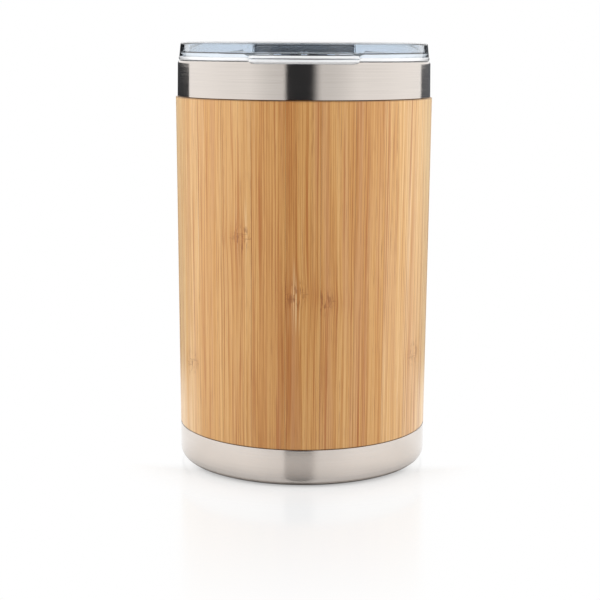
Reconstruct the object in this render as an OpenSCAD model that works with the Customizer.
// Travel mug. A double-walled steel cup stands in a sleeve of bamboo staves,
// with a steel cap over its foot and a clear lid pressed into its mouth.
// The mug stands on z = 0 with its axis on z. The lid's thumb tab points
// to -y and its drink opening to +y. All lengths are in millimetres.

/* [Bamboo sleeve] */
// Outer diameter of the sleeve at its upper seam
sleeve_d = 75; // [66:0.5:90]
// Radius that the sleeve loses from its upper seam to its lower one
sleeve_taper = 0.6; // [0:0.1:1.5]
// Height of bamboo that shows between the steel bands
sleeve_h = 97; // [60:1:160]
// Number of staves glued edge to edge round the sleeve
stave_count = 24; // [16:1:32]
// Wall of a stave at the lower seam
stave_t = 3.3; // [2.6:0.1:4.5]
// Width of the glue line between two staves
stave_joint = 0.06; // [0.02:0.02:0.2]
// Glue gap between the staves and the steel that they sit on
glue_gap = 0.1; // [0.05:0.05:0.3]
// Open line between the bamboo and each steel band
seam_gap = 0.15; // [0.05:0.05:0.4]

/* [Base cap] */
// Height of the base cap's band
base_h = 11; // [8:0.5:18]
// Sheet thickness of the base cap
base_t = 0.6; // [0.4:0.1:1]
// Radius of the cap's rolled lower edge
base_edge_r = 3; // [1.5:0.5:4]
// Width of the flat ring that the mug stands on
foot_w = 7; // [4:0.5:10]
// Depth of the dished underside inside that ring
foot_recess = 2; // [1:0.25:3]
// Run of the slope between the ring and the dished underside
foot_slope = 2; // [1:0.5:4]
// Space between the rolled edge and the staves' tongues inside the cap
tongue_gap = 1; // [0.5:0.25:2]

/* [Steel cup] */
// Height of the rim band above the sleeve
rim_h = 10.4; // [8:0.2:16]
// How far the bamboo stands proud of the rim band
rim_step = 0.5; // [0.1:0.05:0.8]
// Radius that the rim band loses towards the lip
rim_draft = 0.15; // [0:0.05:0.4]
// Radius of the rolled lip
lip_r = 0.8; // [0.6:0.1:1.2]
// Sheet thickness of the outer shell and its bottom
shell_t = 0.6; // [0.4:0.1:1]
// Sheet thickness of the liner
liner_t = 0.5; // [0.4:0.1:0.8]
// Insulating gap between liner and shell
air_gap = 2.4; // [1.5:0.1:5]
// Insulating gap between the liner's floor and the shell's bottom
floor_gap = 3; // [1.5:0.5:6]
// Gap between the shell's bottom and the base cap's dish
bottom_gap = 1.9; // [1:0.1:4]
// Height of the shell bottom's upturned edge
weld_h = 4; // [2.5:0.5:8]
// Gap left by a weld between two sheets
weld_gap = 0.05; // [0.02:0.01:0.1]
// Inside radius where the liner's wall meets its floor
liner_corner_r = 6; // [3:0.5:10]
// Inside radius of the step below the liner's mouth
mouth_corner_r = 1; // [0.5:0.25:1.5]
// Gap between the liner's step and the shell's shoulder
shoulder_gap = 0.2; // [0.1:0.1:0.6]

/* [Lid] */
// Height of the lid above the rim
lid_h = 5.25; // [4.5:0.25:9]
// Gap between the rim and the lid's flange
seat_gap = 0.1; // [0.05:0.05:0.3]
// Thickness of the flange that sits on the rim
flange_t = 0.9; // [0.7:0.1:1.4]
// How far the flange stays back from the rim band
flange_step = 0.3; // [0:0.1:0.6]
// How far the wall stays back from the flange
wall_step = 0.15; // [0:0.05:0.6]
// Radius that the wall loses towards its top
wall_draft = 0.45; // [0:0.05:0.6]
// Wall thickness of the lid above the flange
wall_t = 2; // [1.4:0.1:2.6]
// Thickness of the sunken deck
deck_t = 1.8; // [1.2:0.1:2.2]
// Radial clearance between the plug and the cup's mouth
plug_clear = 0.5; // [0.3:0.1:0.8]
// Wall thickness of the plug
plug_t = 2.2; // [1.8:0.1:3]
// Space left below the plug
plug_room = 0.7; // [0.3:0.1:2]
// Radius of the plug's lower outer edge
plug_edge_r = 0.8; // [0.4:0.1:1.2]
// Diameter of the vent hole
vent_d = 2.5; // [1.5:0.25:4]
// Distance of the vent hole from the plug's inner face
vent_inset = 9; // [5:0.5:14]

/* [Thumb tab and recess] */
// Width of the thumb tab across its upper face
tab_w = 27.4; // [18:0.2:34]
// Run of the slope at each end of the tab
tab_ramp = 1.4; // [0.5:0.1:3]
// Thickness of the tab above the flange's lower face
tab_t = 1.5; // [1.3:0.1:2.2]
// How far the tab's front lip hangs below the flange
tab_drop = 0.2; // [0.1:0.1:0.8]
// How far the tab reaches past the rim band
tab_reach = 1.2; // [0.9:0.1:2.2]
// Radius of the tab's front edge seen from above
tab_plan_r = 60; // [45:1:90]
// Rounding of the tab's edges
tab_edge_r = 0.6; // [0.3:0.1:0.7]
// Running clearance between the tab's lip and the rim band
tab_clear = 0.3; // [0.2:0.1:0.6]
// Depth of the thumb recess at its middle
recess_depth = 2.6; // [1.6:0.1:3.2]
// Radius of the recess's flatter face
recess_r = 72; // [50:1:120]
// Width of the recess's face
recess_w = 26.7; // [18:0.1:30]
// Width of the recess where it opens to the wall
recess_mouth_w = 31; // [22:0.5:36]
// How far the recess's wall stays below the lid's top edge
recess_dip = 0.2; // [0.1:0.05:0.6]

/* [Seal] */
// Height of the seal's groove
groove_h = 3.2; // [2.4:0.1:4]
// Depth of the seal's groove
groove_depth = 1; // [0.6:0.1:1.2]
// Distance of the groove from the plug's lower end
groove_up = 2.4; // [1.6:0.1:3.2]
// Clearance round the seal in its groove
seal_clear = 0.15; // [0.1:0.05:0.25]
// Radius of each sealing lip
seal_lip_r = 0.45; // [0.3:0.05:0.6]
// Gap between the lips and the cup's mouth
seal_gap = 0.2; // [0.1:0.05:0.3]

/* [Slider] */
// Width of the slider's plate
slider_w = 25; // [20:0.5:28]
// Length of the slider's plate
slider_l = 19; // [17:0.5:22]
// Thickness of the slider's plate
slider_t = 1.3; // [1:0.1:1.5]
// Running clearance round the slider
slide_clear = 0.15; // [0.1:0.05:0.25]
// Thickness of the rails' walls
rail_t = 1.6; // [1:0.1:2.5]
// Reach of the rails' lips over the slider
rail_lip = 1.5; // [0.8:0.1:2.2]
// Thickness of the rails' lips
rail_lip_t = 0.8; // [0.6:0.1:1]
// Thickness of the stops at the rails' ends
stop_t = 1.4; // [0.8:0.1:2]
// Distance of the closed slider from the rails' corner in the wall
slider_edge = 0.8; // [0.4:0.1:2]
// Length of the drink opening across the lid
drink_l = 16; // [12:0.5:18]
// Width of the drink opening
drink_w = 6.5; // [5:0.5:8]
// Land between the drink opening and the closed slider's front edge
drink_land = 2.1; // [1.6:0.1:3]
// How far the open slider clears the drink opening
open_gap = 2.4; // [1:0.1:5]
// Length of the slider's thumb grip
grip_l = 7; // [5:0.5:7.5]
// Slope run at the ends of the grip
grip_slope = 1; // [0.5:0.1:1.5]
// Distance of the grip from the slider's rear edge
grip_back = 1; // [0.5:0.1:1.5]
// How far the grip stays below the lid's top edge
grip_drop = 0.4; // [0.2:0.1:1]
// Gap between the grip and the rails' lips
grip_gap = 0.3; // [0.2:0.1:0.8]
// Number of ribs across the grip
grip_ribs = 3; // [2:1:4]
// Radius of those ribs
grip_rib_r = 0.35; // [0.2:0.05:0.4]
// Thickness of the gasket pad under the slider
pad_t = 0.8; // [0.6:0.1:0.9]
// How far the pad reaches past the drink opening
pad_margin = 1.2; // [0.6:0.1:1.4]
// Clearance round the pad in its pocket
pad_clear = 0.05; // [0.02:0.01:0.15]
// How far the pad stands out of the slider's lower face
pad_proud = 0.05; // [0:0.01:0.08]

/* [Hidden] */
$fn = 96;
over = 1; // how far a cutting body runs past the face that it cuts
stave_pitch = 360 / stave_count;
front = -90; // direction of the thumb tab, where the first stave is centred

// Heights from the foot upwards
z_seam_low = base_h;
z_seam_top = z_seam_low + sleeve_h;
z_rim = z_seam_top + rim_h;
z_lid = z_rim + seat_gap;
z_deck = z_lid + deck_t;
z_tab = z_lid + tab_t;
z_top = z_lid + lid_h;
z_tongue = base_edge_r + tongue_gap;
z_shell_low = foot_recess + base_t + bottom_gap;
z_shoulder = z_seam_top + seam_gap;
z_liner_low = z_shell_low + shell_t + floor_gap;
z_step = z_shoulder + shell_t + shoulder_gap;
z_plug = z_step + liner_t + plug_room;
z_groove = z_plug + groove_up;

// Radii of the sleeve and the steel, from the outside inwards
r_top = sleeve_d / 2;
r_low = r_top - sleeve_taper;
r_bore = r_low - stave_t;
r_tongue = r_low - base_t - glue_gap;
r_shell = r_bore - glue_gap;
r_shell_in = r_shell - shell_t;
r_liner = r_shell_in - air_gap;
r_rim_low = r_top - rim_step;
r_rim = r_rim_low - rim_draft;
r_lip_in = r_rim - 2 * lip_r;
r_mouth_out = r_lip_in - weld_gap;
r_mouth = r_mouth_out - liner_t;
r_foot = r_low - base_edge_r - foot_w;

// Radii of the lid and its seal
r_flange = r_rim - flange_step;
r_wall_low = r_flange - wall_step;
r_wall = r_wall_low - wall_draft;
r_wall_in = r_wall - wall_t;
r_plug = r_mouth - plug_clear;
r_plug_in = r_plug - plug_t;
r_groove = r_plug - groove_depth;
r_seal = r_mouth - seal_gap - seal_lip_r;
r_tab = r_rim + tab_reach;
recess_axis = recess_r - r_wall_low + recess_depth; // y of the axis that its face turns about

// The slider's track, measured across (x) and along (y) the lid
x_rail = slider_w / 2 + slide_clear;
x_rail_out = x_rail + rail_t;
x_lip = x_rail - rail_lip;
y_corner = sqrt(pow(r_wall_in, 2) - pow(x_rail_out, 2)); // where the rails' outer faces meet the wall
y_closed = floor(100 * (y_corner - slider_edge)) / 100; // to a hundredth, so that the rails' ends line up
y_drink = y_closed - drink_land - drink_w / 2;
slider_travel = drink_land + drink_w + open_gap;
y_open = y_closed - slider_travel;
y_stop_front = y_closed + slide_clear;
y_stop_back = y_open - slider_l - slide_clear;
z_slider = z_deck + slide_clear;
z_plate = z_slider + slider_t;
z_rail_lip = z_plate + slide_clear;
z_rail = z_rail_lip + rail_lip_t;
z_root = z_lid + deck_t / 2; // the rails start inside the deck
z_grip = z_top - grip_drop - grip_rib_r;

function stave_name(i) = str("stave_", i < 10 ? "0" : "", i);

// Half section of a turned solid whose lower outer edge is rounded
module cup_section(r, z_low, z_high, edge) {
    translate([0, z_low + edge]) square([r, z_high - z_low - edge]);
    translate([0, z_low]) square([r - edge, 2 * edge]);
    translate([r - edge, z_low + edge]) circle(edge);
}

// Half section of a plain ring
module ring_section(r_in, r_out, z_low, z_high) {
    translate([r_in, z_low]) square([r_out - r_in, z_high - z_low]);
}

// Upright strip along y, as tall and as wide as its x and z limits say
module bar(x_low, x_high, y_low, y_high, z_low, z_high) {
    translate([x_low, y_low, z_low])
        cube([x_high - x_low, y_high - y_low, z_high - z_low]);
}

// Plan of a slot with round ends, along x
module slot_plan(length, width) {
    square([length - width, width], center = true);
    for (side = [-1, 1]) translate([side * (length - width) / 2, 0]) circle(width / 2);
}

// Drawn cup: a narrow body, then a step out to the wide mouth for the lid
module inner_liner() {
    color("lightsteelblue") rotate_extrude() difference() {
        union() {
            cup_section(r_liner, z_liner_low, z_step + liner_t, liner_corner_r + liner_t);
            cup_section(r_mouth_out, z_step, z_rim, mouth_corner_r + liner_t);
        }
        cup_section(r_liner - liner_t, z_liner_low + liner_t, z_rim, liner_corner_r);
        cup_section(r_mouth, z_step + liner_t, z_rim + over, mouth_corner_r);
    }
}

// Wall behind the staves, stepping out over them to the rim band and lip
module outer_shell() {
    color("silver") rotate_extrude() {
        ring_section(r_shell_in, r_shell, z_shell_low, z_shoulder + shell_t);
        ring_section(r_shell_in, r_rim_low, z_shoulder, z_shoulder + shell_t);
        polygon([
            [r_rim_low - shell_t, z_shoulder],
            [r_rim_low, z_shoulder],
            [r_rim, z_rim - lip_r],
            [r_rim - shell_t, z_rim - lip_r]
        ]);
        translate([r_rim - lip_r, z_rim - lip_r]) circle(lip_r);
        ring_section(r_lip_in, r_rim - lip_r, z_rim - 2 * lip_r, z_rim);
    }
}

// Pressed disc with an upturned edge, welded into the shell's lower end
module shell_bottom() {
    r = r_shell_in - weld_gap;
    edge = 2 * shell_t;
    color("gray") rotate_extrude() difference() {
        cup_section(r, z_shell_low, z_shell_low + weld_h, edge);
        cup_section(r - shell_t, z_shell_low + shell_t, z_shell_low + weld_h + over, edge - shell_t);
    }
}

// Section of the dish pressed into the base cap, raised by the sheet's thickness
module dish_section(raise) {
    polygon([
        [0, -over],
        [r_foot + raise, -over],
        [r_foot + raise, 0],
        [r_foot + raise - foot_slope, foot_recess + raise],
        [0, foot_recess + raise]
    ]);
}

// Pressed cap with a rolled edge, slipped over the staves' tongues
module base_cup() {
    color("silver") rotate_extrude() difference() {
        cup_section(r_low, 0, z_seam_low - seam_gap, base_edge_r);
        dish_section(0);
        difference() {
            cup_section(r_low - base_t, base_t, z_seam_low + over, base_edge_r - base_t);
            dish_section(base_t);
        }
    }
}

// One stave: tapered outside, straight bore, and a tongue inside the base cap
module stave(i) {
    joint_angle = stave_joint / r_bore * 180 / PI;
    color(i % 2 == 0 ? "burlywood" : "peru")
        rotate(front + (i - 1.5) * stave_pitch + joint_angle / 2)
            rotate_extrude(angle = stave_pitch - joint_angle) polygon([
                [r_bore, z_tongue],
                [r_tongue, z_tongue],
                [r_tongue, z_seam_low],
                [r_low, z_seam_low],
                [r_top, z_seam_top],
                [r_bore, z_seam_top]
            ]);
}

// Section of an upright lid wall with a fully rounded top
module wall_section(r_in, r_out_low, r_out, z_high) {
    polygon([
        [r_in, z_lid],
        [r_out_low, z_lid],
        [r_out, z_high - wall_t / 2],
        [r_in, z_high - wall_t / 2]
    ]);
    translate([r_out - wall_t / 2, z_high - wall_t / 2]) circle(wall_t / 2);
}

// Turned body of the lid: wall, flange, deck and the plug with its seal groove
module lid_turning() {
    rotate_extrude() difference() {
        union() {
            wall_section(r_wall_in, r_wall_low, r_wall, z_top);
            ring_section(0, r_wall_low, z_lid, z_deck);
            ring_section(0, r_flange - flange_t / 2, z_lid, z_lid + flange_t);
            translate([r_flange - flange_t / 2, z_lid + flange_t / 2]) circle(flange_t / 2);
            cup_section(r_plug, z_plug, z_deck, plug_edge_r);
        }
        ring_section(-over, r_plug_in, z_plug - over, z_lid);
        ring_section(r_groove, r_plug + over, z_groove, z_groove + groove_h);
    }
}

// Space in front of the recess's flatter face, between its sloping ends
module recess_space() {
    x_face = recess_w / 2;
    y_face = recess_axis - sqrt(pow(recess_r, 2) - pow(x_face, 2));
    x_mouth = recess_mouth_w / 2;
    y_mouth = -sqrt(pow(r_wall_low, 2) - pow(x_mouth, 2));
    // Each end is a line through face and mouth, from inside the wall behind the face to past the rim
    function end_point(share) = [x_face + share * (x_mouth - x_face), y_face + share * (y_mouth - y_face)];
    inner = end_point(-0.5);
    outer = end_point(2);
    y_out = -r_wall_low - recess_depth;
    translate([0, 0, z_tab]) linear_extrude(z_top - z_tab + over) polygon([
        [-outer.x, y_out],
        [-outer.x, outer.y],
        [-inner.x, inner.y],
        [inner.x, inner.y],
        [outer.x, outer.y],
        [outer.x, y_out]
    ]);
}

// Wall behind the recess, turned about the recess's own axis
module recess_wall() {
    intersection() {
        translate([0, recess_axis])
            rotate_extrude($fn = 360)
                wall_section(recess_r - wall_t, recess_r, recess_r, z_top - recess_dip);
        bar(-recess_mouth_w / 2, recess_mouth_w / 2, -r_wall_low, -r_wall_in / 2, z_lid, z_top);
    }
}

// Thumb tab: a round-edged disc, cut to its width with sloping ends
module thumb_tab() {
    y_axis = tab_plan_r - r_tab;
    z_lip = z_lid - tab_drop;
    half = tab_w / 2;
    difference() {
        intersection() {
            translate([0, y_axis]) rotate_extrude() {
                ring_section(0, tab_plan_r - tab_edge_r, z_lip, z_tab);
                ring_section(0, tab_plan_r, z_lip + tab_edge_r, z_tab - tab_edge_r);
                for (z = [z_lip + tab_edge_r, z_tab - tab_edge_r])
                    translate([tab_plan_r - tab_edge_r, z]) circle(tab_edge_r);
            }
            translate([0, -r_wall_in]) rotate([90, 0, 0])
                linear_extrude(r_tab - r_wall_in + over) polygon([
                    [-half - tab_ramp, z_lip],
                    [half + tab_ramp, z_lip],
                    [half + tab_ramp, z_lid],
                    [half, z_tab],
                    [-half, z_tab],
                    [-half - tab_ramp, z_lid]
                ]);
        }
        translate([0, 0, z_lip - over]) cylinder(r = r_rim_low + tab_clear, h = tab_drop + over);
    }
}

// Rails with lips over the slider, a stop bar behind it and two stops in front
module slide_rails() {
    for (side = [0, 1]) mirror([side, 0, 0]) {
        bar(x_rail, x_rail_out, y_stop_back - stop_t, y_stop_front + stop_t, z_root, z_rail);
        bar(x_lip, x_rail_out, y_stop_back - stop_t, y_stop_front + stop_t, z_rail_lip, z_rail);
        bar(x_lip, x_rail_out, y_stop_front, y_stop_front + stop_t, z_root, z_rail);
    }
    bar(-x_rail_out, x_rail_out, y_stop_back - stop_t, y_stop_back, z_root, z_rail);
}

// Clear lid, pressed into the cup's mouth
module lid_body() {
    color([0.82, 0.87, 0.92, 0.5]) difference() {
        union() {
            difference() {
                lid_turning();
                recess_space();
            }
            recess_wall();
            thumb_tab();
            intersection() {
                slide_rails();
                translate([0, 0, z_lid]) cylinder(r = r_wall, h = lid_h);
            }
        }
        translate([0, y_drink, z_lid - over]) linear_extrude(lid_h) slot_plan(drink_l, drink_w);
        translate([0, vent_inset - r_plug_in, z_lid - over]) cylinder(d = vent_d, h = lid_h);
    }
}

// Silicone ring with two sealing lips, in the plug's groove
module lid_seal() {
    z_low = z_groove + seal_clear;
    z_high = z_groove + groove_h - seal_clear;
    color("whitesmoke") rotate_extrude() {
        ring_section(r_groove + seal_clear, r_seal, z_low, z_high);
        for (z = [z_low + seal_lip_r, z_high - seal_lip_r])
            translate([r_seal, z]) circle(seal_lip_r);
    }
}

// Side view of the slider's grip, along y from its rear foot
module grip_side() {
    polygon([
        [0, 0],
        [grip_slope, z_grip - z_plate],
        [grip_l - grip_slope, z_grip - z_plate],
        [grip_l, 0]
    ]);
}

// Slider, drawn open: a plate under the rails' lips with a ribbed thumb grip
module slider() {
    half_grip = x_lip - grip_gap;
    y_grip = y_open - slider_l + grip_back;
    rib_pitch = (grip_l - 2 * grip_slope) / grip_ribs;
    color([0.16, 0.16, 0.18]) difference() {
        union() {
            bar(-slider_w / 2, slider_w / 2, y_open - slider_l, y_open, z_slider, z_plate);
            translate([-half_grip, y_grip, z_plate]) rotate([90, 0, 90])
                linear_extrude(2 * half_grip) grip_side();
            for (i = [0:grip_ribs - 1])
                translate([-half_grip, y_grip + grip_slope + (i + 0.5) * rib_pitch, z_grip])
                    rotate([0, 90, 0]) cylinder(r = grip_rib_r, h = 2 * half_grip);
        }
        translate([0, y_drink - slider_travel, z_slider - over])
            linear_extrude(over + pad_t - pad_proud)
                slot_plan(drink_l + 2 * (pad_margin + pad_clear), drink_w + 2 * (pad_margin + pad_clear));
    }
}

// Silicone pad in the slider's pocket, which covers the drink opening when closed
module slider_gasket() {
    color("whitesmoke") translate([0, y_drink - slider_travel, z_slider - pad_proud])
        linear_extrude(pad_t) slot_plan(drink_l + 2 * pad_margin, drink_w + 2 * pad_margin);
}

inner_liner();
outer_shell();
shell_bottom();
base_cup();
for (i = [1:stave_count]) stave(i);
lid_body();
lid_seal();
slider();
slider_gasket();
